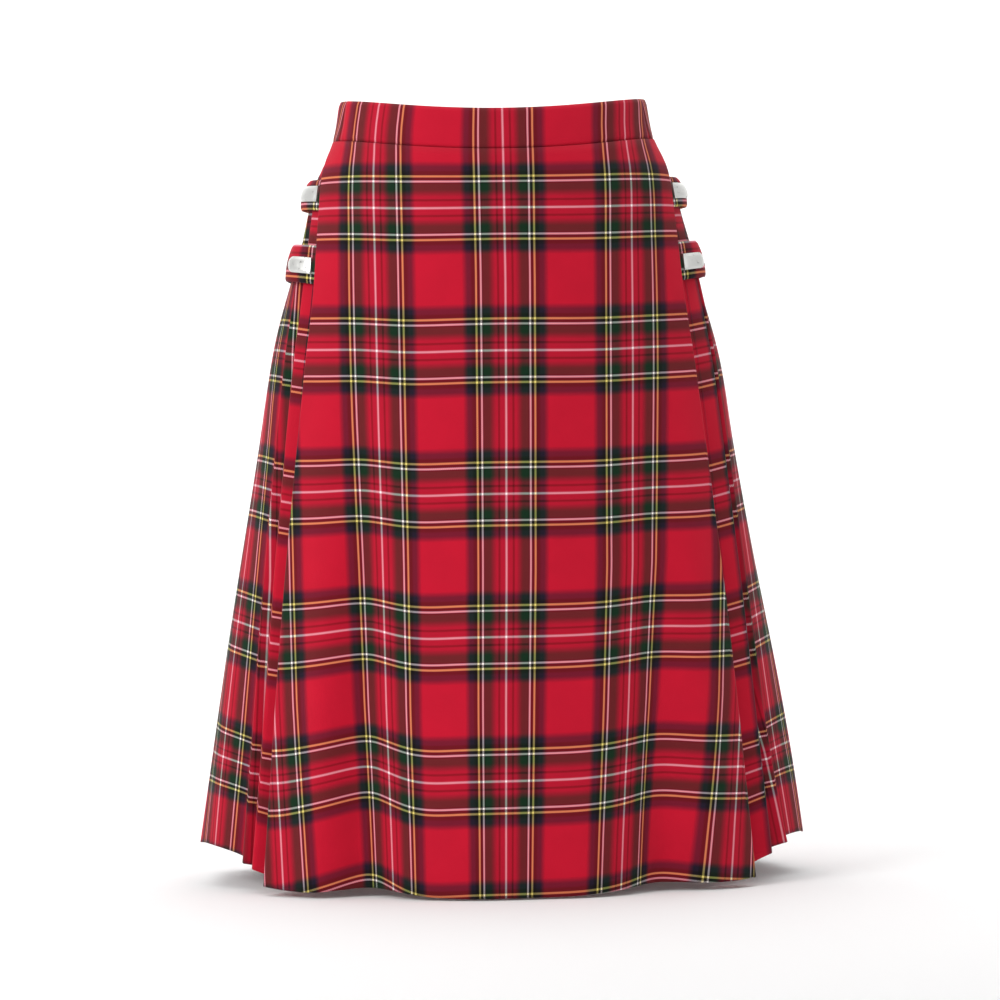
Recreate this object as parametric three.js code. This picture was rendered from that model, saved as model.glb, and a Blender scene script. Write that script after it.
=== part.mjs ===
import * as THREE from "three";

// Kilt-style skirt in tartan: a flat front panel lies over knife pleats that run round
// both sides to an inverted pleat at the centre back. A waistband holds the cloth, and
// two clasped straps on each side come out from under the panel's folded edge.
// Millimetres, +Z up. The front faces -Y and the origin is the middle of the waist.

// Cloth and seams
const PLY = 1.2; // one thickness of the wool cloth
const SEAM = 0.3; // room between two pieces where they are sewn or lie on each other
const HALF_SEAM = SEAM / 2;

// Waistband
const BAND_TOP = 18; // height of its top edge at the sides
const WAIST_SEAM = -18; // height of its lower edge at the sides
const BAND_INNER = 0.2; // its inner face, out from the ring
const BAND_OUTER = 3.6; // its outer face, flush with the front panel
const BAND_JOIN = 0.85; // side joins, as a share of the way from centre front to the side
const BAND_COLUMNS = 15; // steps round each half of a band

// Front panel
const PANEL_TURN = 22; // cloth folded under at each side edge
const PANEL_COLUMNS = 10; // steps across half of its face, up to the turned edge
// Two soft folds that deepen towards the hem: where they lie from the centre line, how
// wide and deep they are, and how far and how widely they lift the hem
const TROUGHS = [
  { at: -124, spread: 31, depth: 20, lift: 6, liftSpread: 46 },
  { at: 130, spread: 30, depth: 20, lift: 6, liftSpread: 56 },
];
const HEM_HEIGHT = -651; // where its ring lies at the sides

// Knife pleats, with their edges pointing to the back
const TUCK_SHARE = 0.6; // cloth turned under at a pleat, as a share of its width
const TUCK_MOST = 30;
const WIDE_PLEATS = 5; // on each side, past the two narrow ones
const BACK_OPENING = 1.5; // from the last pleat's edge to the centre back
// The pleats' hem is lifted past the panel's edge: the most lift, how far its place is
// brought towards the panel, and the share of the way from which it starts
const PLEAT_HEM = { lift: 12, skew: 0.75, from: 0.03 };
// The two narrow pleats of each side, from the panel's edge: how wide each is, and how
// much wider it is at the hem, where most of that opens
const NARROW_PLEATS = {
  left: [{ width: 22, flare: 2 }, { width: 14, flare: -2 }],
  right: [{ width: 36, flare: 0 }, { width: 9, flare: 17 }],
};
const FLARE_POWER = 6; // how late down the skirt a flare opens

// Straps, measured along the cloth from the panel's edge
const STRAP_PLY = 1.8; // two thin layers of cloth
const STRAP_REST = 1.8; // middle of the strap, out from the ring
const STRAP_TUCK = 14; // hidden under the panel
const STRAP_LENGTH = 92; // past the panel's edge
const STRAP_BULGE = { from: 3, length: 70, rise: 4.6, bow: 2.2 };
const STRAPS = [
  { name: "upper", middle: -66, height: 27, claspMiddle: -65 },
  { name: "lower", middle: -127, height: 33, claspMiddle: -128 },
];

// Clasp plates: a flat end towards the front and a round end towards the back
const CLASP = { from: 8, length: 27, height: 14, edge: 1.4, dome: 1.1 };

// Rings of the skirt, from the top down, each named by its height at the side:
// halves of its width and depth, how far it sinks at centre front and centre back,
// how far that sinking spreads from centre front to the sides, the half width of the
// panel's face round the ring, how far the panel's turned edge stands off, and the
// spacing of the pleat layers.
const RINGS = [
  { height: 18, width: 136, front: 88, back: 90, frontSink: 16, backSink: 3,
    spread: 1, panel: 178, lift: 1.6, layer: 1.6 },
  { height: -18, width: 143, front: 94, back: 96, frontSink: 16.5, backSink: 4,
    spread: 1, panel: 178, lift: 1.6, layer: 1.6 },
  { height: -51, width: 160, front: 99, back: 106, frontSink: 17, backSink: 5,
    spread: 1.1, panel: 172, lift: 4.2, layer: 1.8 },
  { height: -100, width: 174, front: 106, back: 118, frontSink: 18, backSink: 6,
    spread: 1.3, panel: 172, lift: 4.2, layer: 1.9 },
  { height: -153, width: 189, front: 114, back: 128, frontSink: 19, backSink: 7,
    spread: 1.5, panel: 173.5, lift: 4.2, layer: 2.3 },
  { height: -215, width: 204.5, front: 123, back: 137, frontSink: 21, backSink: 8,
    spread: 1.7, panel: 180.5, lift: 4.3, layer: 2.8 },
  { height: -300, width: 218, front: 134, back: 147, frontSink: 23, backSink: 9,
    spread: 2, panel: 190.5, lift: 4.4, layer: 3.6 },
  { height: -400, width: 234, front: 147, back: 157, frontSink: 25, backSink: 11,
    spread: 2.3, panel: 201, lift: 4.9, layer: 4.6 },
  { height: -500, width: 250, front: 160, back: 168, frontSink: 27, backSink: 12,
    spread: 2.6, panel: 209.5, lift: 5.4, layer: 5.6 },
  { height: -651, width: 274, front: 177, back: 185, frontSink: 32, backSink: 14,
    spread: 2.8, panel: 220.5, lift: 6, layer: 7 },
];

// Heights at which the skirt's walls have a section
const WALL_HEIGHTS = [-34, -54, -82, -120, -170, -235, -320, -420, -530];

// Colours
const RED_TARTAN = { color: 0xb01c30, roughness: 0.85, metalness: 0 };
const SHADED_TARTAN = { color: 0x98182a, roughness: 0.85, metalness: 0 };
const STRAP_TARTAN = { color: 0x5a2a2c, roughness: 0.85, metalness: 0 };
const SILVER_METAL = { color: 0xd9d9d6, roughness: 0.22, metalness: 1 };

// A column of the ring table at any height, as a smooth curve through its rows.
function ringValue(name, height) {
  const last = RINGS.length - 1;
  let row = 0;
  while (row < last - 1 && height < RINGS[row + 1].height) row += 1;
  const slope = (at) => {
    const above = RINGS[Math.max(at - 1, 0)];
    const below = RINGS[Math.min(at + 1, last)];
    return (below[name] - above[name]) / (below.height - above.height);
  };
  const upper = RINGS[row];
  const lower = RINGS[row + 1];
  const span = lower.height - upper.height;
  const share = THREE.MathUtils.clamp((height - upper.height) / span, 0, 1);
  const square = share * share;
  const cube = square * share;
  return (2 * cube - 3 * square + 1) * upper[name]
    + (cube - 2 * square + share) * span * slope(row)
    + (3 * square - 2 * cube) * lower[name]
    + (cube - square) * span * slope(row + 1);
}

// One ring with the length round it, from centre front to centre back.
const RING_STEPS = 240;
const ringsMade = new Map();
function ringAt(height) {
  if (ringsMade.has(height)) return ringsMade.get(height);
  const ring = { height, lengths: [0] };
  for (const name of Object.keys(RINGS[0])) {
    if (name !== "height") ring[name] = ringValue(name, height);
  }
  for (let step = 1; step <= RING_STEPS; step += 1) {
    const here = ringPoint(ring, (step * Math.PI) / RING_STEPS);
    const before = ringPoint(ring, ((step - 1) * Math.PI) / RING_STEPS);
    ring.lengths.push(ring.lengths[step - 1] + Math.hypot(here.x - before.x, here.y - before.y));
  }
  ring.half = ring.lengths[RING_STEPS];
  ring.side = ring.lengths[RING_STEPS / 2];
  ringsMade.set(height, ring);
  return ring;
}

function ringPoint(ring, angle) {
  const depth = Math.cos(angle) > 0 ? ring.front : ring.back;
  return { x: ring.width * Math.sin(angle), y: -depth * Math.cos(angle), depth };
}

// The angle at a length round the ring.
function ringAngle(ring, length) {
  let step = 1;
  while (step < RING_STEPS && ring.lengths[step] < length) step += 1;
  const before = ring.lengths[step - 1];
  const share = (length - before) / (ring.lengths[step] - before);
  return ((step - 1 + share) * Math.PI) / RING_STEPS;
}

// A point at a length round the ring (right is positive) and a distance out from it,
// with a lift where a hem is raised.
function place(ring, along, out, lift = 0) {
  const angle = ringAngle(ring, Math.abs(along));
  const { x, y, depth } = ringPoint(ring, angle);
  const normal = new THREE.Vector2(Math.sin(angle) / ring.width, -Math.cos(angle) / depth);
  normal.normalize();
  const sink = Math.cos(angle) > 0
    ? ring.frontSink * (1 - Math.sin(angle) ** (2 * ring.spread))
    : ring.backSink * Math.cos(angle) ** 2;
  const side = along < 0 ? -1 : 1;
  const height = ring.height - sink + lift;
  return new THREE.Vector3(side * (x + out * normal.x), y + out * normal.y, height);
}

// A closed wall from rows of outer and inner points, the rows from the top down.
function closedWall(rows) {
  const columns = rows[0].outer.length;
  const positions = [];
  for (const row of rows) {
    for (let column = 0; column < columns; column += 1) {
      positions.push(...row.outer[column].toArray(), ...row.inner[column].toArray());
    }
  }
  const outer = (row, column) => 2 * (row * columns + column);
  const inner = (row, column) => outer(row, column) + 1;
  const indices = [];
  const quad = (a, b, c, d) => indices.push(a, b, c, a, c, d);
  const lastRow = rows.length - 1;
  const lastColumn = columns - 1;
  for (let row = 0; row < lastRow; row += 1) {
    for (let column = 0; column < lastColumn; column += 1) {
      quad(outer(row, column), outer(row + 1, column),
        outer(row + 1, column + 1), outer(row, column + 1));
      quad(inner(row, column), inner(row, column + 1),
        inner(row + 1, column + 1), inner(row + 1, column));
    }
    quad(inner(row, 0), inner(row + 1, 0), outer(row + 1, 0), outer(row, 0));
    quad(outer(row, lastColumn), outer(row + 1, lastColumn),
      inner(row + 1, lastColumn), inner(row, lastColumn));
  }
  for (let column = 0; column < lastColumn; column += 1) {
    quad(outer(0, column), outer(0, column + 1), inner(0, column + 1), inner(0, column));
    quad(outer(lastRow, column), inner(lastRow, column),
      inner(lastRow, column + 1), outer(lastRow, column + 1));
  }
  return facingOut(positions, indices);
}

// A geometry whose triangles face out, also where its points were mirrored.
function facingOut(positions, indices) {
  const corner = (index) => new THREE.Vector3().fromArray(positions, 3 * index);
  let volume = 0;
  for (let at = 0; at < indices.length; at += 3) {
    const cross = corner(indices[at + 1]).cross(corner(indices[at + 2]));
    volume += corner(indices[at]).dot(cross);
  }
  const turned = [];
  for (let at = 0; at < indices.length; at += 3) {
    const [a, b, c] = indices.slice(at, at + 3);
    turned.push(a, ...(volume > 0 ? [b, c] : [c, b]));
  }
  const geometry = new THREE.BufferGeometry();
  geometry.setAttribute("position", new THREE.Float32BufferAttribute(positions, 3));
  geometry.setIndex(turned);
  geometry.computeVertexNormals();
  return geometry;
}

// A wall of one ply whose middle follows a path of lengths round a ring and distances out.
function plyRow(ring, path, side) {
  const row = { outer: [], inner: [] };
  path.forEach((point, at) => {
    const before = path[Math.max(at - 1, 0)];
    const after = path[Math.min(at + 1, path.length - 1)];
    const across = new THREE.Vector2(before.out - after.out, after.along - before.along);
    across.setLength(PLY / 2);
    for (const [face, turn] of [["outer", 1], ["inner", -1]]) {
      const along = side * (point.along + turn * across.x);
      row[face].push(place(ring, along, point.out + turn * across.y, point.lift));
    }
  });
  return row;
}

// Points of a half turn round a centre, with angles from the ring's direction.
function addTurn(path, along, out, radius, startDegrees, endDegrees, steps) {
  for (let step = 0; step <= steps; step += 1) {
    const angle = THREE.MathUtils.degToRad(
      startDegrees + ((endDegrees - startDegrees) * step) / steps);
    path.push({ along: along + radius * Math.cos(angle), out: out + radius * Math.sin(angle) });
  }
}

// How far down a ring is, from 0 at the waist seam to 1 at the hem.
function fallAt(ring) {
  return (WAIST_SEAM - ring.height) / (WAIST_SEAM - HEM_HEIGHT);
}

// Front panel: its face between the folded edges, and the cloth turned under at each.
function panelPoint(ring, along) {
  const fall = fallAt(ring);
  const point = { along, out: ring.lift + ring.layer, lift: 0 };
  for (const trough of TROUGHS) {
    const distance = along - trough.at;
    const strength = (spread) => fall * fall * Math.exp(-((distance / spread) ** 2));
    point.out -= trough.depth * strength(trough.spread);
    point.lift += trough.lift * strength(trough.liftSpread);
  }
  return point;
}

function panelPath(ring) {
  const radius = ring.layer / 2;
  const turnedFrom = ring.panel - PANEL_TURN;
  const turnMiddle = ring.panel - PANEL_TURN / 2;
  const turned = [];
  addTurn(turned, ring.panel - radius, ring.lift + radius, radius, 90, -90, 4);
  turned.push({ along: turnMiddle, out: ring.lift });
  turned.push({ along: turnedFrom + HALF_SEAM, out: ring.lift });
  const mirrored = turned.map(({ along, out }) => ({ along: -along, out })).reverse();
  const face = [-turnMiddle];
  for (let column = -PANEL_COLUMNS; column <= PANEL_COLUMNS; column += 1) {
    face.push((turnedFrom * column) / PANEL_COLUMNS);
  }
  face.push(turnMiddle);
  return [...mirrored, ...face.map((along) => panelPoint(ring, along)), ...turned];
}

function frontPanel() {
  const heights = [WAIST_SEAM - HALF_SEAM, ...WALL_HEIGHTS, HEM_HEIGHT];
  return closedWall(heights.map((height) => {
    const ring = ringAt(height);
    return plyRow(ring, panelPath(ring), 1);
  }));
}

// Knife pleats of one side, from under the panel's edge to the centre back. Each face
// starts in the deepest layer and rises to its edge, turns under and turns back again.
function pleatEdges(ring, side) {
  const opened = fallAt(ring) ** FLARE_POWER;
  let start = ring.panel;
  const narrow = NARROW_PLEATS[side].map((pleat) => {
    start += pleat.width + pleat.flare * opened;
    return start;
  });
  const width = (ring.half - BACK_OPENING - start) / WIDE_PLEATS;
  const wide = Array.from({ length: WIDE_PLEATS }, (_, at) => start + width * (at + 1));
  return [...narrow.map((edge) => ({ edge, steps: 1 })), ...wide.map((edge) => ({ edge, steps: 3 }))];
}

function pleatPath(ring, side) {
  const deep = -2 * ring.layer;
  const radius = ring.layer / 2;
  const path = [{ along: ring.panel - PANEL_TURN - HALF_SEAM, out: ring.lift }];
  const turnRadius = (ring.lift - deep) / 2;
  const turnAt = ring.panel - PANEL_TURN - PLY;
  addTurn(path, turnAt, ring.lift - turnRadius, turnRadius, 90, 270, 5);
  path.push({ along: ring.panel - PANEL_TURN / 2, out: deep });
  let previous = ring.panel;
  for (const { edge, steps } of pleatEdges(ring, side)) {
    const end = edge - radius;
    const tuck = Math.min(TUCK_MOST, TUCK_SHARE * (edge - previous));
    const tuckMiddle = edge - tuck / 2;
    const face = [];
    for (let step = 0; step <= steps; step += 1) {
      face.push(previous + ((edge - tuck - previous) * step) / steps);
    }
    for (const along of [...face, tuckMiddle]) {
      path.push({ along, out: (deep * (end - along)) / (end - previous) });
    }
    addTurn(path, end, -radius, radius, 90, -90, 3);
    path.push({ along: tuckMiddle, out: -ring.layer });
    addTurn(path, edge - tuck + radius, deep + radius, radius, 90, 270, 3);
    path.push({ along: tuckMiddle, out: deep });
    previous = edge;
  }
  path.push({ along: ring.half - HALF_SEAM, out: deep });
  return path;
}

// The lift of the pleats' hem past the panel's edge, down to none at the side.
function pleatHemLift(ring, along) {
  const share = (along - ring.panel) / (ring.side - ring.panel);
  const held = THREE.MathUtils.clamp(share, PLEAT_HEM.from, 1);
  return PLEAT_HEM.lift * Math.sin(Math.PI * held ** PLEAT_HEM.skew);
}

function pleats(side) {
  const heights = [WAIST_SEAM - HALF_SEAM, ...WALL_HEIGHTS, HEM_HEIGHT];
  return closedWall(heights.map((height) => {
    const ring = ringAt(height);
    const path = pleatPath(ring, side);
    if (height === HEM_HEIGHT) {
      for (const point of path) point.lift = pleatHemLift(ring, point.along);
    }
    return plyRow(ring, path, side === "left" ? -1 : 1);
  }));
}

// Waistband pieces: the front one between the side joins and the back one behind them.
function waistband(part) {
  const heights = [BAND_TOP, (BAND_TOP + WAIST_SEAM) / 2, WAIST_SEAM + HALF_SEAM];
  return closedWall(heights.map((height) => {
    const ring = ringAt(height);
    const join = ring.side * BAND_JOIN;
    const row = { outer: [], inner: [] };
    for (let step = 0; step <= 2 * BAND_COLUMNS; step += 1) {
      const share = step / BAND_COLUMNS - 1;
      const reach = part === "front" ? join - HALF_SEAM : ring.half - join - HALF_SEAM;
      const along = share * reach;
      const fromFront = part === "front" ? along : roundTheBack(ring, along);
      row.outer.push(place(ring, fromFront, BAND_OUTER));
      row.inner.push(place(ring, fromFront, BAND_INNER));
    }
    return row;
  }));
}

// A length from the centre back, as a length from the centre front.
function roundTheBack(ring, along) {
  return along < 0 ? ring.half + along : along - ring.half;
}

// Straps lie on the pleat edges, and swell outwards where the clasp is.
function strapSwell(past) {
  const share = THREE.MathUtils.clamp((past - STRAP_BULGE.from) / STRAP_BULGE.length, 0, 1);
  return Math.sin(Math.PI * share) ** 2;
}

function strapOut(past, across) {
  const swell = strapSwell(past);
  return STRAP_REST + swell * (STRAP_BULGE.rise + STRAP_BULGE.bow * (1 - across * across));
}

const STRAP_COLUMNS = 18;
const STRAP_ROWS = 4;
function strap({ middle, height }, side) {
  const start = ringAt(middle).panel;
  const rows = [];
  for (let line = 0; line <= STRAP_ROWS; line += 1) {
    const across = 1 - (2 * line) / STRAP_ROWS;
    const ring = ringAt(middle + (across * height) / 2);
    const row = { outer: [], inner: [] };
    for (let step = 0; step <= STRAP_COLUMNS; step += 1) {
      const past = -STRAP_TUCK + ((STRAP_TUCK + STRAP_LENGTH) * step) / STRAP_COLUMNS;
      const out = strapOut(past, across);
      row.outer.push(place(ring, side * (start + past), out + STRAP_PLY / 2));
      row.inner.push(place(ring, side * (start + past), out - STRAP_PLY / 2));
    }
    rows.push(row);
  }
  return closedWall(rows);
}

// Clasps: domed plates that follow the strap under them.
const CLASP_COLUMNS = 12;
const CLASP_ROWS = 6;
function clasp({ middle, height, claspMiddle }, side) {
  const start = ringAt(middle).panel;
  const radius = CLASP.height / 2;
  const straight = CLASP.length - radius;
  const rows = [];
  for (let line = 0; line <= CLASP_ROWS; line += 1) {
    const across = 1 - (2 * line) / CLASP_ROWS;
    const row = { outer: [], inner: [] };
    for (let step = 0; step <= CLASP_COLUMNS; step += 1) {
      const bend = THREE.MathUtils.clamp((2 * step) / CLASP_COLUMNS - 1, 0, 1) * 80;
      const angle = THREE.MathUtils.degToRad(bend);
      const along = step <= CLASP_COLUMNS / 2
        ? (2 * straight * step) / CLASP_COLUMNS
        : straight + radius * Math.sin(angle);
      const rise = across * radius * Math.cos(angle);
      const ring = ringAt(Math.round(100 * (claspMiddle + rise)) / 100);
      const past = CLASP.from + along;
      const strapAcross = (2 * (claspMiddle + rise - middle)) / height;
      const rest = strapOut(past, strapAcross) + STRAP_PLY / 2 + SEAM;
      const dome = CLASP.dome * (1 - across ** 4) * (1 - (2 * along / CLASP.length - 1) ** 4);
      row.outer.push(place(ring, side * (start + past), rest + CLASP.edge + dome));
      row.inner.push(place(ring, side * (start + past), rest));
    }
    rows.push(row);
  }
  return closedWall(rows);
}

const skirt = new THREE.Group();

function add(name, geometry, finish) {
  const mesh = new THREE.Mesh(geometry, new THREE.MeshStandardMaterial(finish));
  mesh.name = name;
  skirt.add(mesh);
}

add("waistband_front", waistband("front"), RED_TARTAN);
add("waistband_back", waistband("back"), RED_TARTAN);
add("front_panel", frontPanel(), RED_TARTAN);
for (const [side, sign] of [["left", -1], ["right", 1]]) {
  add(`pleats_${side}`, pleats(side), SHADED_TARTAN);
  for (const row of STRAPS) {
    add(`strap_${row.name}_${side}`, strap(row, sign), STRAP_TARTAN);
    add(`clasp_${row.name}_${side}`, clasp(row, sign), SILVER_METAL);
  }
}

export default skirt;
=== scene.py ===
import bisect
import math

import bmesh
import bpy
from mathutils import Matrix, Vector


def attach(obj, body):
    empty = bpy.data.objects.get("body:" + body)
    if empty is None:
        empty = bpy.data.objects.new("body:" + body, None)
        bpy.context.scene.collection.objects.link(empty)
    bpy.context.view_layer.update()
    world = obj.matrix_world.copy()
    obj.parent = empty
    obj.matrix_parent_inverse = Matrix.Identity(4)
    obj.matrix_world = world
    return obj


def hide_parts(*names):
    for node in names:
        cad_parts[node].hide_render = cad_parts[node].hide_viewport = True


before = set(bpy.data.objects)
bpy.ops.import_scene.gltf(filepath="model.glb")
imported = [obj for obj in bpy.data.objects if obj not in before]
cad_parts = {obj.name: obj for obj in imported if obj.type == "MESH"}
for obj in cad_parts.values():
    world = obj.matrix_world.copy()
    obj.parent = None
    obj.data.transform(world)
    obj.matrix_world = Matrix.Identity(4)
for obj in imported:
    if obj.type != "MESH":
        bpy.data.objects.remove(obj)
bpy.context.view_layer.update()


# ---- The room ----------------------------------------------------------------------
# A pale floor that curves up into a backdrop, a large soft lamp on the left, a weaker
# one on the right and an even sky. The camera looks level at the skirt's front.

FLOOR_HEIGHT = -0.6845
FLOOR_FRONT = -6.0
FLOOR_HALF_WIDTH = 7.0
WALL_AT = 3.2
WALL_TOP = 6.0
SWEEP = 1.2
SWEEP_STEPS = 12

floor_mesh = bmesh.new()
floor_line = [(FLOOR_FRONT, FLOOR_HEIGHT)]
for step in range(SWEEP_STEPS + 1):
    turn = math.radians(90 * step / SWEEP_STEPS)
    floor_line.append((WALL_AT - SWEEP + SWEEP * math.sin(turn),
                       FLOOR_HEIGHT + SWEEP * (1 - math.cos(turn))))
floor_line.append((WALL_AT, WALL_TOP))
floor_sides = []
for x in (-FLOOR_HALF_WIDTH, FLOOR_HALF_WIDTH):
    floor_sides.append([floor_mesh.verts.new((x, y, z)) for y, z in floor_line])
for at in range(len(floor_line) - 1):
    left, right = floor_sides
    floor_mesh.faces.new((left[at], right[at], right[at + 1], left[at + 1])).smooth = True
floor_data = bpy.data.meshes.new("floor")
floor_mesh.to_mesh(floor_data)
floor_mesh.free()
floor = bpy.data.objects.new("floor", floor_data)
bpy.context.scene.collection.objects.link(floor)
floor_paint = bpy.data.materials.new("pale_floor")
floor_paint.use_nodes = True
floor_shader = floor_paint.node_tree.nodes["Principled BSDF"]
floor_shader.inputs["Base Color"].default_value = (0.97, 0.97, 0.97, 1)
floor_shader.inputs["Roughness"].default_value = 0.9
floor_data.materials.append(floor_paint)

sky = bpy.data.worlds.new("studio")
sky.use_nodes = True
sky.node_tree.nodes["Background"].inputs["Color"].default_value = (1, 1, 1, 1)
sky.node_tree.nodes["Background"].inputs["Strength"].default_value = 0.50
bpy.context.scene.world = sky

for name, place_at, aimed_at, size, power in (
    ("lamp_left", (-2.6, -2.2, 1.3), (0, 0, -0.35), 1.6, 66),
    ("lamp_right", (2.6, -2.2, 0.9), (0, 0, -0.35), 2.4, 10),
    ("lamp_backdrop", (0, 1.0, 2.2), (0, 3.4, -0.4), 3.0, 70),
):
    lamp_data = bpy.data.lights.new(name, "AREA")
    lamp_data.size = size
    lamp_data.energy = power
    lamp = bpy.data.objects.new(name, lamp_data)
    lamp.location = place_at
    aim = Vector(aimed_at) - Vector(place_at)
    lamp.rotation_euler = aim.to_track_quat("-Z", "Y").to_euler()
    bpy.context.scene.collection.objects.link(lamp)

CAMERA_TURN = math.radians(2.8)
CAMERA_ROLL = math.radians(-0.8)
CAMERA_FAR = 2.9
CAMERA_ASIDE = 0.0015
CAMERA_HEIGHT = -0.344

camera_data = bpy.data.cameras.new("camera")
camera_data.sensor_width = 36
camera_data.lens = 114.7
camera = bpy.data.objects.new("camera", camera_data)
camera.location = (
    CAMERA_ASIDE * math.cos(CAMERA_TURN) - CAMERA_FAR * math.sin(CAMERA_TURN),
    -CAMERA_ASIDE * math.sin(CAMERA_TURN) - CAMERA_FAR * math.cos(CAMERA_TURN),
    CAMERA_HEIGHT,
)
look = Vector((math.sin(CAMERA_TURN), math.cos(CAMERA_TURN), 0))
level = look.to_track_quat("-Z", "Y").to_matrix()
camera.rotation_euler = (level @ Matrix.Rotation(CAMERA_ROLL, 3, "Z")).to_euler()
bpy.context.scene.collection.objects.link(camera)
bpy.context.scene.camera = camera
bpy.context.scene.view_settings.view_transform = "Standard"


# ---- The tartan --------------------------------------------------------------------
# Wool twill in a traditional red tartan. The same order of stripes runs across and
# down the cloth, mirrored about a white line. Where two colours cross, they mix.

WIDE_REPEAT = 0.113
LONG_REPEAT = 0.125
THREAD_PITCH = 0.00046
# The weft's share of the colour, and how much it gains across the twill's diagonals
WEFT_LEAST = 0.32
WEFT_SWING = 0.36
NAP_FADE = 0.12
RELIEF = {"twill": 0.6, "thread": 0.4, "nap": 0.5}
ROUGHNESS_LEAST = 0.74
ROUGHNESS_SWING = 0.16

RED = (0.755, 0.080, 0.185)
DEEP_RED = (0.660, 0.090, 0.185)
GREEN = (0.060, 0.185, 0.110)
NAVY = (0.135, 0.100, 0.165)
BLACK = (0.075, 0.055, 0.050)
LINE = (0.370, 0.040, 0.090)
WHITE = (0.990, 0.960, 0.950)
YELLOW = (0.920, 0.850, 0.460)
# Stripes from the white line, at 0, to the middle of the red field, at 1
STRIPES = [
    (0.000, WHITE), (0.010, WHITE), (0.023, DEEP_RED), (0.088, DEEP_RED), (0.101, LINE),
    (0.117, LINE), (0.130, DEEP_RED), (0.155, DEEP_RED), (0.255, GREEN), (0.336, GREEN),
    (0.341, BLACK), (0.353, BLACK), (0.357, WHITE), (0.382, WHITE), (0.386, BLACK),
    (0.424, BLACK), (0.428, YELLOW), (0.455, YELLOW), (0.459, BLACK), (0.500, BLACK),
    (0.525, NAVY), (0.570, NAVY), (0.655, RED), (1.000, RED),
]

tartan = bpy.data.node_groups.new("Tartan twill", "ShaderNodeTree")
for name, kind, value in (
    ("Cloth", "NodeSocketVector", None),
    ("Fade", "NodeSocketFloat", 0.06),
):
    socket = tartan.interface.new_socket(name=name, in_out="INPUT", socket_type=kind)
    if value is not None:
        socket.default_value = value
for name, kind in (("Color", "NodeSocketColor"), ("Weave", "NodeSocketFloat"),
                   ("Roughness", "NodeSocketFloat")):
    tartan.interface.new_socket(name=name, in_out="OUTPUT", socket_type=kind)
group_nodes = tartan.nodes
group_links = tartan.links
cloth_in = group_nodes.new("NodeGroupInput")
cloth_out = group_nodes.new("NodeGroupOutput")
split = group_nodes.new("ShaderNodeSeparateXYZ")
group_links.new(cloth_in.outputs["Cloth"], split.inputs[0])


def maths(kind, *values):
    node = group_nodes.new("ShaderNodeMath")
    node.operation = kind
    for value, taken_by in zip(values, node.inputs):
        if isinstance(value, (int, float)):
            taken_by.default_value = value
        else:
            group_links.new(value, taken_by)
    return node.outputs[0]


def stripes_along(direction, repeat):
    folded = maths("PINGPONG", direction, repeat / 2)
    share = maths("DIVIDE", folded, repeat / 2)
    ramp = group_nodes.new("ShaderNodeValToRGB")
    ramp.color_ramp.interpolation = "LINEAR"
    while len(ramp.color_ramp.elements) < len(STRIPES):
        ramp.color_ramp.elements.new(1)
    for element, (at, color) in zip(ramp.color_ramp.elements, STRIPES):
        element.position = at
        element.color = (*color, 1)
    group_links.new(share, ramp.inputs[0])
    return ramp.outputs[0]


def noise(scale, detail):
    specks = group_nodes.new("ShaderNodeTexNoise")
    specks.inputs["Scale"].default_value = scale
    specks.inputs["Detail"].default_value = detail
    group_links.new(cloth_in.outputs["Cloth"], specks.inputs["Vector"])
    return specks.outputs[0]


warp = stripes_along(split.outputs[0], WIDE_REPEAT)
weft = stripes_along(split.outputs[1], LONG_REPEAT)
# Twill: floats of the warp and of the weft in turn, along the diagonals
diagonal = maths("ADD", split.outputs[0], split.outputs[1])
twill = maths("DIVIDE", maths("PINGPONG", diagonal, 2 * THREAD_PITCH), 2 * THREAD_PITCH)
crossed = group_nodes.new("ShaderNodeMix")
crossed.data_type = "RGBA"
group_links.new(maths("MULTIPLY_ADD", twill, WEFT_SWING, WEFT_LEAST), crossed.inputs["Factor"])
group_links.new(warp, crossed.inputs["A"])
group_links.new(weft, crossed.inputs["B"])
# Uneven dye and a light nap. The colours are given as the eye sees them, and a gamma
# makes them the cloth's own.
dye = noise(34, 3)
nap = noise(1500, 2)
unevenness = maths("MULTIPLY", maths("SUBTRACT", dye, 0.5), cloth_in.outputs["Fade"])
fuzz = maths("MULTIPLY", maths("SUBTRACT", nap, 0.5), NAP_FADE)
shaded = group_nodes.new("ShaderNodeVectorMath")
shaded.operation = "SCALE"
group_links.new(crossed.outputs["Result"], shaded.inputs[0])
group_links.new(maths("ADD", maths("ADD", unevenness, fuzz), 1), shaded.inputs["Scale"])
seen = group_nodes.new("ShaderNodeGamma")
seen.inputs["Gamma"].default_value = 2.2
group_links.new(shaded.outputs[0], seen.inputs["Color"])
group_links.new(seen.outputs[0], cloth_out.inputs["Color"])
# Height of the threads: the twill's ridges with a thread's own roundness and the nap
across = maths("PINGPONG", split.outputs[0], THREAD_PITCH / 2)
down = maths("PINGPONG", split.outputs[1], THREAD_PITCH / 2)
thread = maths("DIVIDE", maths("ADD", across, down), THREAD_PITCH)
rounded = maths("MULTIPLY", thread, RELIEF["thread"])
weave = maths("MULTIPLY_ADD", twill, RELIEF["twill"], rounded)
group_links.new(maths("ADD", weave, maths("MULTIPLY", nap, RELIEF["nap"])),
                cloth_out.inputs["Weave"])
group_links.new(maths("MULTIPLY_ADD", nap, ROUGHNESS_SWING, ROUGHNESS_LEAST),
                cloth_out.inputs["Roughness"])


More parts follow.
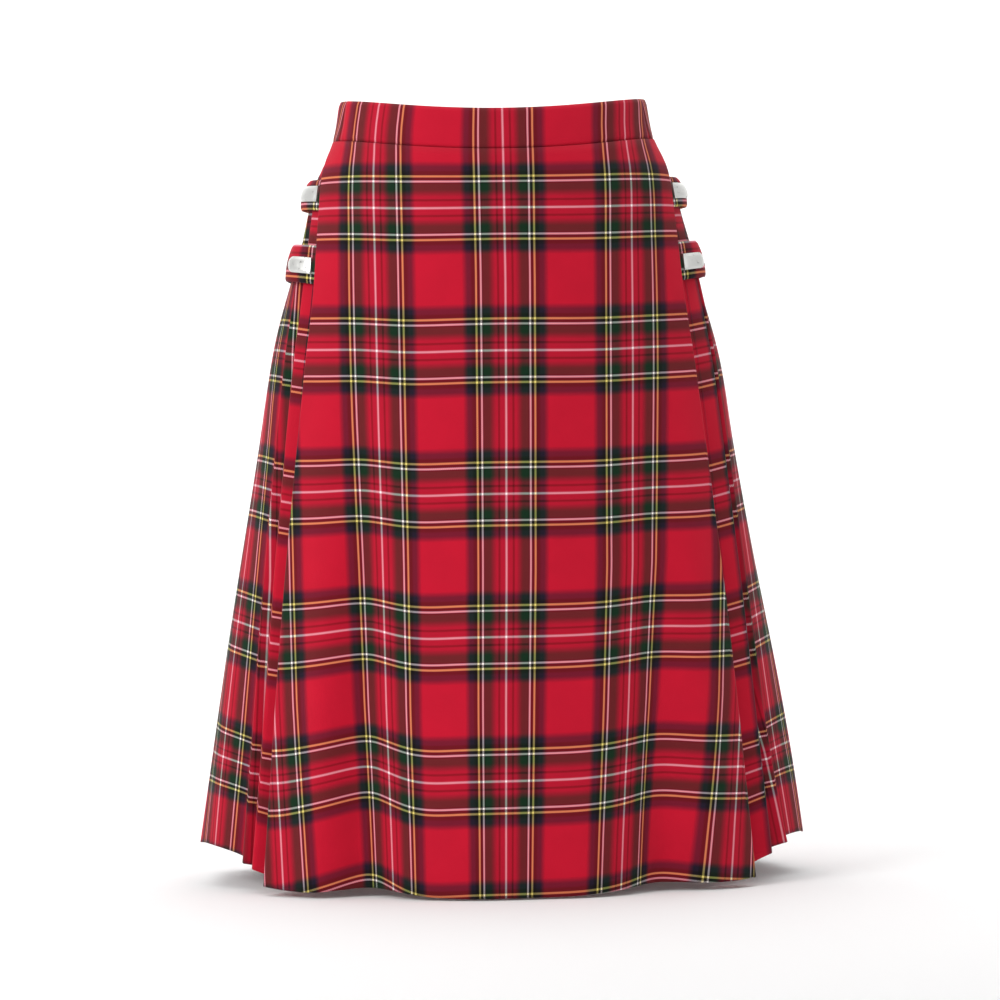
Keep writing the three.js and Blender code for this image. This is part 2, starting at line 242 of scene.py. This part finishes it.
def wool(name, fade, bump):
    cloth = bpy.data.materials.new(name)
    cloth.use_nodes = True
    nodes, links = cloth.node_tree.nodes, cloth.node_tree.links
    shader = nodes["Principled BSDF"]
    shader.inputs["Specular IOR Level"].default_value = 0.15
    shader.inputs["Sheen Weight"].default_value = 0.07
    shader.inputs["Sheen Roughness"].default_value = 0.5
    shader.inputs["Sheen Tint"].default_value = (1, 0.9, 0.9, 1)
    lines = nodes.new("ShaderNodeUVMap")
    lines.uv_map = "cloth"
    group = nodes.new("ShaderNodeGroup")
    group.node_tree = tartan
    group.inputs["Fade"].default_value = fade
    links.new(lines.outputs[0], group.inputs["Cloth"])
    links.new(group.outputs["Color"], shader.inputs["Base Color"])
    links.new(group.outputs["Roughness"], shader.inputs["Roughness"])
    relief = nodes.new("ShaderNodeBump")
    relief.inputs["Strength"].default_value = bump
    relief.inputs["Distance"].default_value = 0.0002
    links.new(group.outputs["Weave"], relief.inputs["Height"])
    links.new(relief.outputs[0], shader.inputs["Normal"])
    return cloth


panel_wool = wool("tartan_wool", fade=0.08, bump=0.5)


# ---- Front panel -------------------------------------------------------------------
# A flat apron of tartan wool, sewn into the waistband at the top. Each side edge is
# folded under, and two soft folds deepen towards the hem.

PLY = 0.0012
HALF_SEAM = 0.00015
WAIST_SEAM = -0.018
HEM_HEIGHT = -0.651
# Rings of the skirt, each named by its height at the side: halves of width and depth,
# sinking at centre front and back, its spread, the panel's half width, how far its
# turned edge stands off, and the spacing of the pleats' layers
RING_SIZES = ("height", "width", "front", "back", "front_sink", "back_sink", "spread",
              "panel", "lift", "layer")
RINGS = [dict(zip(RING_SIZES, row)) for row in (
    (0.018, 0.136, 0.088, 0.090, 0.0160, 0.003, 1.0, 0.1780, 0.0016, 0.0016),
    (-0.018, 0.143, 0.094, 0.096, 0.0165, 0.004, 1.0, 0.1780, 0.0016, 0.0016),
    (-0.051, 0.160, 0.099, 0.106, 0.0170, 0.005, 1.1, 0.1720, 0.0042, 0.0018),
    (-0.100, 0.174, 0.106, 0.118, 0.0180, 0.006, 1.3, 0.1720, 0.0042, 0.0019),
    (-0.153, 0.189, 0.114, 0.128, 0.0190, 0.007, 1.5, 0.1735, 0.0042, 0.0023),
    (-0.215, 0.2045, 0.123, 0.137, 0.0210, 0.008, 1.7, 0.1805, 0.0043, 0.0028),
    (-0.300, 0.218, 0.134, 0.147, 0.0230, 0.009, 2.0, 0.1905, 0.0044, 0.0036),
    (-0.400, 0.234, 0.147, 0.157, 0.0250, 0.011, 2.3, 0.2010, 0.0049, 0.0046),
    (-0.500, 0.250, 0.160, 0.168, 0.0270, 0.012, 2.6, 0.2095, 0.0054, 0.0056),
    (-0.651, 0.274, 0.177, 0.185, 0.0320, 0.014, 2.8, 0.2205, 0.0060, 0.0070),
)]


def ring_value(name, height):
    last = len(RINGS) - 1
    row = 0
    while row < last - 1 and height < RINGS[row + 1]["height"]:
        row += 1
    slopes = []
    for at in (row, row + 1):
        above, below = RINGS[max(at - 1, 0)], RINGS[min(at + 1, last)]
        slopes.append((below[name] - above[name]) / (below["height"] - above["height"]))
    upper, lower = RINGS[row], RINGS[row + 1]
    span = lower["height"] - upper["height"]
    share = min(max((height - upper["height"]) / span, 0), 1)
    square, cube = share ** 2, share ** 3
    return ((2 * cube - 3 * square + 1) * upper[name]
            + (cube - 2 * square + share) * span * slopes[0]
            + (3 * square - 2 * cube) * lower[name] + (cube - square) * span * slopes[1])


RING_STEPS = 240
rings_made = {}


def ring_at(height):
    height = round(height, 6)
    if height in rings_made:
        return rings_made[height]
    ring = {name: ring_value(name, height) for name in RING_SIZES[1:]}
    ring["height"] = height
    points = []
    for step in range(RING_STEPS + 1):
        angle = math.pi * step / RING_STEPS
        depth = ring["front"] if math.cos(angle) > 0 else ring["back"]
        points.append((ring["width"] * math.sin(angle), -depth * math.cos(angle)))
    ring["lengths"] = [0.0]
    for before, here in zip(points, points[1:]):
        ring["lengths"].append(ring["lengths"][-1] + math.dist(before, here))
    ring["half"] = ring["lengths"][-1]
    ring["side"] = ring["lengths"][RING_STEPS // 2]
    rings_made[height] = ring
    return ring


# A point at a length round the ring (right is positive) and a distance out from it
def place(ring, along, out, lift=0.0):
    length = abs(along)
    step = min(max(bisect.bisect_left(ring["lengths"], length), 1), RING_STEPS)
    before, after = ring["lengths"][step - 1], ring["lengths"][step]
    angle = math.pi * (step - 1 + (length - before) / (after - before)) / RING_STEPS
    sine, cosine = math.sin(angle), math.cos(angle)
    depth = ring["front"] if cosine > 0 else ring["back"]
    reach = math.hypot(sine / ring["width"], cosine / depth)
    x = ring["width"] * sine + out * sine / ring["width"] / reach
    y = -depth * cosine - out * cosine / depth / reach
    if cosine > 0:
        sink = ring["front_sink"] * (1 - abs(sine) ** (2 * ring["spread"]))
    else:
        sink = ring["back_sink"] * cosine ** 2
    return (-x if along < 0 else x, y, ring["height"] - sink + lift)


FIRST_WHITE_ROW = -0.0702
FIRST_REPEAT = 0.1239
REPEAT_SHRINK = 0.0443


# How many repeats of the tartan a height is below the first white row. The repeats get a
# little shorter towards the hem.
def weft_row(height):
    below = FIRST_WHITE_ROW - height
    return below / FIRST_REPEAT * (1 + REPEAT_SHRINK * below)


# Main creases, each a soft ridge or trough: where its middle is round the ring and
# down, how long it is, how wide, how high it stands, and how far its foot leans aside
CREASES = [dict(zip(("along", "height", "length", "width", "rise", "lean"), row)) for row in (
    (-0.020, -0.560, 0.150, 0.034, 0.0040, -0.010),
    (0.052, -0.590, 0.120, 0.022, 0.0024, 0.006),
    (-0.164, -0.560, 0.220, 0.017, 0.0052, -0.006),
    (-0.130, -0.500, 0.240, 0.017, -0.0064, -0.004),
    (0.176, -0.520, 0.170, 0.016, 0.0020, 0.008),
    (-0.070, -0.300, 0.190, 0.030, -0.0012, 0.004),
    (0.080, -0.260, 0.160, 0.026, -0.0012, -0.004),
    (-0.118, -0.060, 0.050, 0.012, 0.0010, 0.006),
    (0.110, -0.055, 0.045, 0.014, 0.0010, -0.006),
    (0.020, -0.045, 0.030, 0.024, 0.0007, 0.003),
    (-0.060, -0.040, 0.028, 0.018, 0.0006, -0.004),
    (-0.300, -0.560, 0.150, 0.024, 0.0040, -0.008),
    (0.330, -0.580, 0.150, 0.026, 0.0036, 0.010),
    (-0.430, -0.540, 0.180, 0.030, 0.0034, 0.006),
    (0.450, -0.500, 0.180, 0.028, -0.0030, -0.008),
    (-0.560, -0.600, 0.130, 0.026, -0.0030, 0.006),
    (0.580, -0.570, 0.160, 0.030, 0.0030, 0.004),
    (-0.660, -0.500, 0.200, 0.024, 0.0022, -0.006),
    (0.680, -0.600, 0.120, 0.022, -0.0020, 0.004),
    (-0.250, -0.200, 0.080, 0.016, 0.0009, 0.010),
    (0.260, -0.230, 0.090, 0.018, 0.0009, -0.010),
    (-0.350, -0.060, 0.050, 0.014, 0.0008, 0.004),
    (0.370, -0.070, 0.050, 0.016, 0.0008, -0.004),
)]
# A crease ends at this many times its length and its width from its middle
CREASE_ENDS = 2.4
CREASE_SIDES = 3


def crease_out(ring, along):
    out = 0.0
    for crease in CREASES:
        down = (ring["height"] - crease["height"]) / crease["length"]
        aside = (along - crease["along"] + crease["lean"] * down) / crease["width"]
        if abs(down) <= CREASE_ENDS and abs(aside) < CREASE_SIDES:
            out += crease["rise"] * math.exp(-down * down - aside * aside)
    return out


# A closed shell of cloth from rows of cells. A cell has a point on the outer face, one on
# the inner face, and the place in the tartan.
def cloth_shell(name, rows, material):
    mesh = bmesh.new()
    lines = mesh.loops.layers.uv.new("cloth")
    grid = []
    for row in rows:
        grid.append([(mesh.verts.new(outer), mesh.verts.new(inner), spot)
                     for outer, inner, spot in row])

    def face(corners):
        made = mesh.faces.new([vert for vert, _ in corners])
        made.smooth = True
        for loop, (_, spot) in zip(made.loops, corners):
            loop[lines].uv = spot

    for upper, lower in zip(grid, grid[1:]):
        for at in range(len(upper) - 1):
            for layer in (0, 1):
                corners = [(cell[layer], cell[2]) for cell in
                           (upper[at], lower[at], lower[at + 1], upper[at + 1])]
                face(corners if layer == 0 else corners[::-1])
        for at in (0, len(upper) - 1):
            corners = [(upper[at][0], upper[at][2]), (upper[at][1], upper[at][2]),
                       (lower[at][1], lower[at][2]), (lower[at][0], lower[at][2])]
            face(corners if at == 0 else corners[::-1])
    for line, turned in ((grid[0], False), (grid[-1], True)):
        for left, right in zip(line, line[1:]):
            corners = [(left[0], left[2]), (right[0], right[2]),
                       (right[1], right[2]), (left[1], left[2])]
            face(corners[::-1] if turned else corners)
    bmesh.ops.recalc_face_normals(mesh, faces=mesh.faces)
    data = bpy.data.meshes.new(name)
    mesh.to_mesh(data)
    mesh.free()
    data.materials.append(material)
    piece = bpy.data.objects.new(name, data)
    bpy.context.scene.collection.objects.link(piece)
    return piece


# A cloth's wall from paths round its rings. A path is a list of (along, out, lift,
# across): the last is the length along the cloth that places the tartan.
def cloth_wall(name, paths, side, rows, material):
    cells = []
    for (ring, path), row in zip(paths, rows):
        line = []
        for at, (along, out, lift, across) in enumerate(path):
            before, after = path[max(at - 1, 0)], path[min(at + 1, len(path) - 1)]
            tangent = Vector((after[0] - before[0], after[1] - before[1]))
            normal = Vector((-tangent.y, tangent.x)).normalized() * (PLY / 2)
            moved = out + crease_out(ring, side * along)
            outer, inner = [
                place(ring, side * (along + turn * normal.x), moved + turn * normal.y, lift)
                for turn in (1, -1)
            ]
            line.append((outer, inner, (across, row(along))))
        cells.append(line)
    return cloth_shell(name, cells, material)


# Points of a part turn round a centre, with angles from the ring's direction
def add_turn(path, along, out, radius, start, end, steps):
    for step in range(steps + 1):
        angle = math.radians(start + (end - start) * step / steps)
        path.append((along + radius * math.cos(angle), out + radius * math.sin(angle)))


PANEL_TURN = 0.022
# The share of the turned edge that lies flat under the panel
TURN_FLAT = 0.8
PANEL_COLUMNS = 62
EDGE_STEP = 0.0015
EDGE_STEPS = 10
# Soft folds: place, spread, depth, and the lift of the hem with its own spread
TROUGHS = ((-0.124, 0.031, 0.020, 0.006, 0.046), (0.130, 0.030, 0.020, 0.006, 0.056))
WALL_ROWS = 84
wall_heights = [WAIST_SEAM - HALF_SEAM + (HEM_HEIGHT - WAIST_SEAM + HALF_SEAM) * at / WALL_ROWS
                for at in range(WALL_ROWS + 1)]
# How the tartan lies on the panel: at each height, where its middle line is, and how
# wide a repeat is to the left and to the right
PANEL_LINES = (
    (0.018, 0.0036, 0.1115, 0.1190), (-0.002, 0.0036, 0.1150, 0.1175),
    (-0.018, 0.0036, 0.1165, 0.1175), (-0.050, 0.0034, 0.1145, 0.1165),
    (-0.130, 0.0031, 0.1137, 0.1144), (-0.254, 0.0012, 0.1110, 0.1126),
    (-0.378, -0.0012, 0.1069, 0.1113), (-0.496, -0.0042, 0.1029, 0.1066),
    (-0.605, -0.0063, 0.0980, 0.0999), (-0.651, -0.0072, 0.0962, 0.0975),
)


def between(rows, height):
    for upper, lower in zip(rows, rows[1:]):
        if height >= lower[0]:
            share = (height - upper[0]) / (lower[0] - upper[0])
            return [a + (b - a) * share for a, b in zip(upper[1:], lower[1:])]
    return rows[-1][1:]


# How the cloth's hang moves the tartan near the edges and the soft folds: where, over
# what width, and how far at the hem (rows downwards, columns to the right)
ROW_SAGS = ((-0.222, 0.040, 0.0130), (-0.128, 0.030, -0.0080), (-0.075, 0.030, 0.0030),
            (0.130, 0.035, -0.0045), (0.225, 0.030, 0.0050))
COLUMN_DRIFTS = ((-0.170, 0.022, 0.0042), (0.138, 0.022, -0.0045), (0.215, 0.030, 0.0068))
SAG_POWER = 1.4
# Rows also bow at the waist, by this much this far from the middle
ROW_BOW = 0.009
BOW_AT = 0.163


def panel_across(height, along):
    middle, left, right = between(PANEL_LINES, height)
    hung = max(WAIST_SEAM - height, 0) / (WAIST_SEAM - HEM_HEIGHT)
    along -= sum(drift * hung ** 2 * math.exp(-((along - at) / spread) ** 2)
                 for at, spread, drift in COLUMN_DRIFTS)
    return (along - middle) / (left if along < middle else right) * WIDE_REPEAT


def fall_at(ring):
    return (WAIST_SEAM - ring["height"]) / (WAIST_SEAM - HEM_HEIGHT)


def panel_point(ring, along):
    out, lift = ring["lift"] + ring["layer"], 0.0
    for at, spread, depth, rise, rise_spread in TROUGHS:
        strength = fall_at(ring) ** 2
        out -= depth * strength * math.exp(-((along - at) / spread) ** 2)
        lift += rise * strength * math.exp(-((along - at) / rise_spread) ** 2)
    return out, lift


def panel_path(ring):
    radius = ring["layer"] / 2
    turned_from = ring["panel"] - PANEL_TURN
    turned = []
    add_turn(turned, ring["panel"] - radius, ring["lift"] + radius, radius, 90, -90, EDGE_STEPS)
    for share in (0.8, 0.6, 0.4, 0.2, 0):
        turned.append((turned_from + HALF_SEAM + PANEL_TURN * TURN_FLAT * share, ring["lift"]))
    edge = ring["panel"] - radius - EDGE_STEP
    # the length along the cloth goes on round the fold
    beyond = [edge + math.dist(turned[0], (edge, ring["lift"] + ring["layer"]))]
    for before, here in zip(turned, turned[1:]):
        beyond.append(beyond[-1] + math.dist(before, here))
    path = []
    for (along, out), length in reversed(list(zip(turned, beyond))):
        path.append((-along, out, 0.0, panel_across(ring["height"], -length)))
    for at in range(-PANEL_COLUMNS, PANEL_COLUMNS + 1):
        along = edge * at / PANEL_COLUMNS
        out, lift = panel_point(ring, along)
        path.append((along, out, lift, panel_across(ring["height"], along)))
    for (along, out), length in zip(turned, beyond):
        path.append((along, out, 0.0, panel_across(ring["height"], length)))
    return path


def panel_row(ring):
    def row(along):
        bow = ROW_BOW * (1 - fall_at(ring)) ** 2 * (along / BOW_AT) ** 2
        sag = sum(drop * fall_at(ring) ** SAG_POWER * math.exp(-((along - at) / spread) ** 2)
                  for at, spread, drop in ROW_SAGS)
        return weft_row(ring["height"] + bow + sag) * LONG_REPEAT
    return row


panel_rings = [ring_at(height) for height in wall_heights]
front_panel = cloth_wall("panel_cloth", [(ring, panel_path(ring)) for ring in panel_rings], 1,
                         [panel_row(ring) for ring in panel_rings], panel_wool)
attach(front_panel, "root")
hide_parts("front_panel")


# ---- Pleated sides and back ----------------------------------------------------------
# One length of the same wool for each side, folded into knife pleats that point to the
# back: two narrow ones beside the panel and five wide ones to the centre back.

TUCK_SHARE = 0.6
TUCK_MOST = 0.030
WIDE_PLEATS = 5
BACK_OPENING = 0.0015
# half the gap left where the two lengths are sewn together at the centre back
BACK_SEAM = 0.00002
# The hem's lift at the sides: how much, where it is most, and the share of the way to the
# side and down to the hem from which it starts
PLEAT_HEM = {"lift": 0.012, "skew": 0.75, "from": 0.03, "low": 0.82}
# Columns on the face of a narrow and of a wide pleat, and round each fold
NARROW_STEPS = 8
WIDE_STEPS = 16
FOLD_STEPS = 8
# Each narrow pleat's width, and how much wider it flares at the hem
NARROW_PLEATS = {"left": ((0.022, 0.002), (0.014, -0.002)),
                 "right": ((0.036, 0.0), (0.009, 0.017))}
FLARE_POWER = 6
# Where a white line lies on each pleat. Each row has a height, then how far past the
# panel's edge the line is on the two narrow pleats and on the first wide one. On each
# further wide pleat it is a share of the pleat's width.
WHITE_LINES = {
    "left": ((-0.018, 0.066, 0.066, 0.082), (-0.155, 0.066, 0.055, 0.082),
             (-0.267, 0.066, 0.043, 0.082), (-0.400, 0.066, 0.032, 0.082),
             (-0.560, 0.066, 0.029, 0.083), (-0.651, 0.066, 0.028, 0.085)),
    "right": ((-0.018, 0.067, 0.036, 0.077), (-0.340, 0.067, 0.036, 0.072),
              (-0.400, 0.067, 0.036, 0.074), (-0.490, 0.067, 0.036, 0.076),
              (-0.560, 0.067, 0.049, 0.079), (-0.651, 0.067, 0.060, 0.088)),
}
WIDE_LINE = 0.55
# How far the tartan's rows are sewn below the panel's, on each pleat in turn
ROW_DROPS = (0.017, 0.013, 0.012)


def pleat_edges(ring, side):
    edges = [ring["panel"]]
    for width, flare in NARROW_PLEATS[side]:
        edges.append(edges[-1] + width + flare * fall_at(ring) ** FLARE_POWER)
    width = (ring["half"] - BACK_OPENING - edges[-1]) / WIDE_PLEATS
    return edges[1:] + [edges[-1] + width * (at + 1) for at in range(WIDE_PLEATS)]


def pleat_path(ring, side):
    layer, lift = ring["layer"], ring["lift"]
    deep, radius = -2 * layer, layer / 2
    path = [(ring["panel"] - PANEL_TURN - HALF_SEAM, lift)]
    turn_radius = (lift - deep) / 2
    add_turn(path, ring["panel"] - PANEL_TURN - PLY, lift - turn_radius, turn_radius, 90, 270,
             EDGE_STEPS)
    path.append((ring["panel"] - PANEL_TURN / 2, deep))
    marks = [(0, None)]
    previous = ring["panel"]
    for number, edge in enumerate(pleat_edges(ring, side)):
        end = edge - radius
        tuck = min(TUCK_MOST, TUCK_SHARE * (edge - previous))
        middle = edge - tuck / 2
        steps = NARROW_STEPS if number < len(NARROW_PLEATS[side]) else WIDE_STEPS
        start = len(path)
        for along in [previous + (edge - tuck - previous) * at / steps for at in range(steps + 1)]:
            path.append((along, deep * (end - along) / (end - previous)))
        for share in (0.25, 0.5, 0.75):
            along = edge - tuck + (tuck - radius) * share
            path.append((along, deep * (end - along) / (end - previous)))
        add_turn(path, end, -radius, radius, 90, -90, FOLD_STEPS)
        marks.append((start, number))
        path.append((middle, -layer))
        add_turn(path, edge - tuck + radius, deep + radius, radius, 90, 270, FOLD_STEPS)
        path.append((middle, deep))
        previous = edge
    path.append((ring["half"] - BACK_SEAM, deep))
    return path, marks


# The cloth's length along the path, set so that each face has its white line in place
def pleat_across(ring, side, path, marks):
    edges = pleat_edges(ring, side)
    whites = between(WHITE_LINES[side], ring["height"])
    lengths = []
    for at, (start, number) in enumerate(marks):
        end = marks[at + 1][0] if at + 1 < len(marks) else len(path)
        if number is None or number < len(whites):
            line = ring["panel"] + whites[number or 0]
        else:
            line = edges[number - 1] + WIDE_LINE * (edges[number] - edges[number - 1])
        length = path[start][0] - line
        for index in range(start, end):
            if index > start:
                length += math.dist(path[index], path[index - 1])
            lengths.append(length)
    return lengths


def pleat_lift(ring, along):
    share = (along - ring["panel"]) / (ring["side"] - ring["panel"])
    held = min(max(share, PLEAT_HEM["from"]), 1)
    fade = max((fall_at(ring) - PLEAT_HEM["low"]) / (1 - PLEAT_HEM["low"]), 0)
    return PLEAT_HEM["lift"] * math.sin(math.pi * held ** PLEAT_HEM["skew"]) * fade


def pleat_row(ring, side):
    edges = pleat_edges(ring, side)

    def row(along):
        number = bisect.bisect_left(edges, along + ring["layer"] / 2)
        drop = ROW_DROPS[min(number, len(ROW_DROPS) - 1)]
        return weft_row(ring["height"] + drop) * LONG_REPEAT
    return row


for side, sign in (("left", -1), ("right", 1)):
    paths = []
    for ring in panel_rings:
        path, marks = pleat_path(ring, side)
        lengths = pleat_across(ring, side, path, marks)
        paths.append((ring, [(along, out, pleat_lift(ring, along), across)
                             for (along, out), across in zip(path, lengths)]))
    pleats = cloth_wall(f"pleats_{side}_cloth", paths, sign,
                        [pleat_row(ring, side) for ring in panel_rings], panel_wool)
    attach(pleats, "root")
    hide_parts(f"pleats_{side}")


# ---- Waistband -----------------------------------------------------------------------
# A straight strip of the same wool, folded over and sewn down on the cloth's top edge.
# Its front and back pieces meet a little before the sides.

BAND_TOP = 0.018
BAND_BOTTOM = WAIST_SEAM + HALF_SEAM
BAND_INNER = 0.0002
BAND_OUTER = 0.0036
BAND_JOIN = 0.85
BAND_COLUMNS = 96
BAND_ROWS = 10
# The roll at the top fold and the sewn lower edge draw the cloth in a little: how much,
# and over what share of the band's height
EDGE_DRAW = 0.0009
EDGE_SHARE = 0.06
# How far the inner ply bows in over the tops of the pleats
PLEATS_COVERED = 0.0048
# The strip is cut along the red field between two rows of stripes
BAND_ROW = 0.008


def band_cloth(part):
    rows = []
    for step in range(BAND_ROWS + 1):
        ring = ring_at(BAND_TOP + (BAND_BOTTOM - BAND_TOP) * step / BAND_ROWS)
        join = ring["side"] * BAND_JOIN
        half_length = join if part == "front" else ring["half"] - join
        edge = min(step, BAND_ROWS - step) / BAND_ROWS
        draw = EDGE_DRAW * math.exp(-(edge / EDGE_SHARE) ** 2)
        bow = PLEATS_COVERED * (step / BAND_ROWS) ** 2
        down = weft_row(ring["height"]) * LONG_REPEAT + BAND_ROW
        row = []
        for column in range(BAND_COLUMNS + 1):
            share = 2 * column / BAND_COLUMNS - 1
            along = (half_length - HALF_SEAM) * share
            if part == "front":
                across = panel_across(ring["height"], along)
            else:
                across = half_length * share
                along = ring["half"] + along if along < 0 else along - ring["half"]
            outer = place(ring, along, BAND_OUTER - draw)
            inner = place(ring, along, BAND_INNER + draw - bow)
            row.append((outer, inner, (across, down)))
        rows.append(row)
    return cloth_shell(f"waistband_{part}_cloth", rows, panel_wool)


for part, width in (("front", 0.32), ("back", 0.42)):
    band = band_cloth(part)
    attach(band, "root")
    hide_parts(f"waistband_{part}")


# ---- Straps --------------------------------------------------------------------------
# Two straps of doubled tartan on each side. They come from under the panel's folded
# edge, swell over the pleats where the clasp pulls them, and are sewn down behind it.

STRAP_PLY = 0.0018
STRAP_REST = 0.0018
STRAP_TUCK = 0.014
STRAP_LENGTH = 0.092
STRAP_BULGE = {"from": 0.003, "length": 0.070, "rise": 0.0046, "bow": 0.0022}
# Where the tartan starts along a strap. Each strap's row of it is with the strap's sizes.
STRAP_START = 0.012
STRAPS = (
    {"name": "upper", "middle": -0.066, "height": 0.027, "row": 0.0150},
    {"name": "lower", "middle": -0.127, "height": 0.033, "row": 0.0160},
)
STRAP_COLUMNS = 60
STRAP_ROWS = 14
# Both long edges are rolled folds: from what share of the half height they thin, how
# slowly, and how thin they get
ROLL = {"from": 0.86, "slow": 0.02, "least": 0.05}
strap_wool = wool("strap_wool", fade=0.08, bump=0.5)


def strap_out(past, across):
    share = min(max((past - STRAP_BULGE["from"]) / STRAP_BULGE["length"], 0), 1)
    swell = math.sin(math.pi * share) ** 2
    return STRAP_REST + swell * (STRAP_BULGE["rise"] + STRAP_BULGE["bow"] * (1 - across ** 2))


def strap_cloth(strap, sign, name):
    start = ring_at(strap["middle"])["panel"]
    rows = []
    for line in range(STRAP_ROWS + 1):
        across = 1 - 2 * line / STRAP_ROWS
        up = across * strap["height"] / 2
        ring = ring_at(strap["middle"] + up)
        thinned = max(abs(across) - ROLL["from"], 0) ** 2 / ROLL["slow"]
        roll = STRAP_PLY / 2 * math.sqrt(max(1 - thinned, ROLL["least"]))
        row = []
        for step in range(STRAP_COLUMNS + 1):
            past = -STRAP_TUCK + (STRAP_TUCK + STRAP_LENGTH) * step / STRAP_COLUMNS
            out = strap_out(past, across)
            outer = place(ring, sign * (start + past), out + roll)
            inner = place(ring, sign * (start + past), out - roll)
            row.append((outer, inner, (past + STRAP_START, strap["row"] - up)))
        rows.append(row)
    return cloth_shell(name, rows, strap_wool)


for side, sign in (("left", -1), ("right", 1)):
    for strap in STRAPS:
        node = f"strap_{strap['name']}_{side}"
        piece = strap_cloth(strap, sign, f"{node}_cloth")
        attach(piece, "root")
        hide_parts(node)


# ---- Clasps --------------------------------------------------------------------------
# A plain domed plate of metal, pressed and polished, on each strap. The plates' shapes are
# the CAD part's own, and only get their finish here, with the small marks of use.

plate = bpy.data.materials.new("polished_metal")
plate.use_nodes = True
plate_nodes, plate_links = plate.node_tree.nodes, plate.node_tree.links
plate_shader = plate_nodes["Principled BSDF"]
plate_shader.inputs["Metallic"].default_value = 1
spot_from = plate_nodes.new("ShaderNodeTexCoord")
smears = plate_nodes.new("ShaderNodeTexNoise")
smears.inputs["Scale"].default_value = 260
smears.inputs["Detail"].default_value = 4
plate_links.new(spot_from.outputs["Object"], smears.inputs["Vector"])
tone = plate_nodes.new("ShaderNodeValToRGB")
tone.color_ramp.elements[0].position = 0.30
tone.color_ramp.elements[0].color = (0.50, 0.49, 0.47, 1)
tone.color_ramp.elements[1].position = 0.38
tone.color_ramp.elements[1].color = (0.97, 0.97, 0.94, 1)
plate_links.new(smears.outputs[0], tone.inputs[0])
plate_links.new(tone.outputs[0], plate_shader.inputs["Base Color"])
dull = plate_nodes.new("ShaderNodeMath")
dull.operation = "MULTIPLY_ADD"
dull.inputs[1].default_value = 0.25
dull.inputs[2].default_value = 0.22
plate_links.new(smears.outputs[0], dull.inputs[0])
plate_links.new(dull.outputs[0], plate_shader.inputs["Roughness"])

for side in ("left", "right"):
    for strap in STRAPS:
        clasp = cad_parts[f"clasp_{strap['name']}_{side}"]
        for slot in clasp.material_slots:
            slot.material = plate
